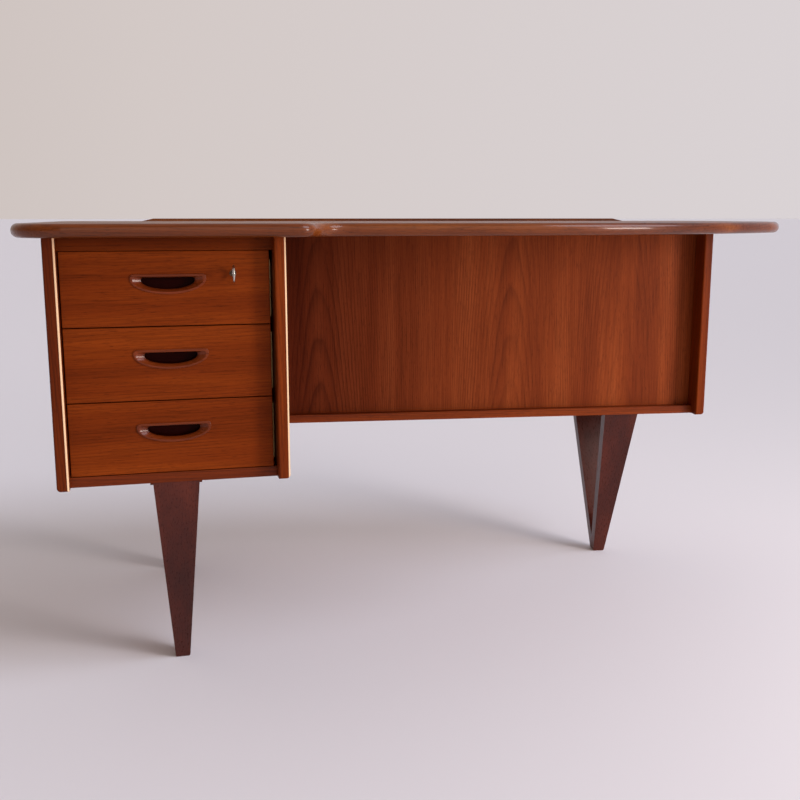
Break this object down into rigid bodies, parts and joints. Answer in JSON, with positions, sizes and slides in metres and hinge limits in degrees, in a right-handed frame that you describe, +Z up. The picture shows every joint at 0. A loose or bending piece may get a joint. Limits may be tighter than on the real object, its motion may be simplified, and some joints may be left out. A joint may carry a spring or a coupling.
{
  "type": "writing desk",
  "caption": "Boomerang-topped teak writing desk with a drawer pedestal, knee panel, open bookcase back and V-shaped legs.",
  "frame": {"origin": "centre of the bounding box, on the floor", "axes": "+X to the sitter's right along the pedestal front, +Y away from the sitter, +Z up"},
  "size_m": [1.4289, 0.8, 0.7405],
  "materials": {
    "top_veneer": "oiled teak veneer",
    "solid_edging": "oiled solid teak",
    "case_veneer": "oiled teak veneer",
    "drawer_front_veneer": "oiled teak veneer, grain across",
    "pull_wood": "oiled solid teak",
    "knee_panel_veneer": "oiled teak veneer, grain upright",
    "drawer_lining": "planed beech",
    "leg_wood": "dark stained and oiled",
    "steel": "plain",
    "brass": "aged",
    "nickel": "nickel plated"
  },
  "bodies": {
    "desk": {"bookcase_partition": "case_veneer", "bookcase_shelf_left": "case_veneer", "bookcase_shelf_right": "case_veneer", "cabinet_back_rail": "case_veneer", "cabinet_bottom": "case_veneer", "cabinet_side_right": "case_veneer", "cabinet_top_rail": "case_veneer", "door_hinge_case_leaves": "brass", "door_hinge_pins": "brass", "drawer_runners": "drawer_lining", "knee_panel": "knee_panel_veneer", "leg_front_left_front_board": "leg_wood", "leg_front_left_plate": "case_veneer", "leg_front_left_rear_board": "leg_wood", "leg_rear_left_front_board": "leg_wood", "leg_rear_left_plate": "case_veneer", "leg_rear_left_rear_board": "leg_wood", "leg_right_front_board": "leg_wood", "leg_right_plate": "case_veneer", "leg_right_rear_board": "leg_wood", "leg_screws": "steel", "pedestal_back_rail": "case_veneer", "pedestal_bottom": "case_veneer", "pedestal_divider": "case_veneer", "pedestal_side_left": "case_veneer", "pedestal_side_right": "case_veneer", "pedestal_top_rail": "case_veneer", "shelf_pins": "brass", "top_back_lip": "solid_edging", "top_edging_back": "solid_edging", "top_edging_front": "solid_edging", "top_edging_left": "solid_edging", "top_edging_right": "solid_edging", "top_panel": "top_veneer"},
    "drawer_1": {"drawer_1_back": "drawer_lining", "drawer_1_bottom": "drawer_lining", "drawer_1_front": "drawer_front_veneer", "drawer_1_pull": "pull_wood", "drawer_1_side_left": "drawer_lining", "drawer_1_side_right": "drawer_lining", "lock_case": "steel", "lock_escutcheon": "nickel"},
    "drawer_2": {"drawer_2_back": "drawer_lining", "drawer_2_bottom": "drawer_lining", "drawer_2_front": "drawer_front_veneer", "drawer_2_pull": "pull_wood", "drawer_2_side_left": "drawer_lining", "drawer_2_side_right": "drawer_lining"},
    "drawer_3": {"drawer_3_back": "drawer_lining", "drawer_3_bottom": "drawer_lining", "drawer_3_front": "drawer_front_veneer", "drawer_3_pull": "pull_wood", "drawer_3_side_left": "drawer_lining", "drawer_3_side_right": "drawer_lining"},
    "key": {"key": "nickel"},
    "lock_bolt": {"lock_bolt": "steel"},
    "rear_door": {"rear_door": "case_veneer", "rear_door_knob": "pull_wood", "door_hinge_door_leaves": "brass"}
  },
  "joints": [
    {"name": "drawer_1_slide", "type": "slide", "parent": "desk", "child": "drawer_1", "axis": [0, -1, 0], "range_m": [0, 0.3]},
    {"name": "drawer_2_slide", "type": "slide", "parent": "desk", "child": "drawer_2", "axis": [0, -1, 0], "range_m": [0, 0.3]},
    {"name": "drawer_3_slide", "type": "slide", "parent": "desk", "child": "drawer_3", "axis": [0, -1, 0], "range_m": [0, 0.3]},
    {"name": "key_turn", "type": "hinge", "parent": "drawer_1", "child": "key", "pos_m": [-0.40097, -0.333, 0.66], "axis": [0, -1, 0], "range_deg": [-90, 0]},
    {"name": "bolt_slide", "type": "slide", "parent": "drawer_1", "child": "lock_bolt", "axis": [0, 0, 1], "range_m": [0, 0.008]},
    {"name": "rear_door_hinge", "type": "hinge", "parent": "desk", "child": "rear_door", "pos_m": [-0.65227, 0.3812, 0.52], "axis": [0, 0, 1], "range_deg": [0, 110]}
  ],
  "couplings": [
    {"joint": "key_turn", "follows": "bolt_slide", "rad_per_m": -196.3}
  ]
}
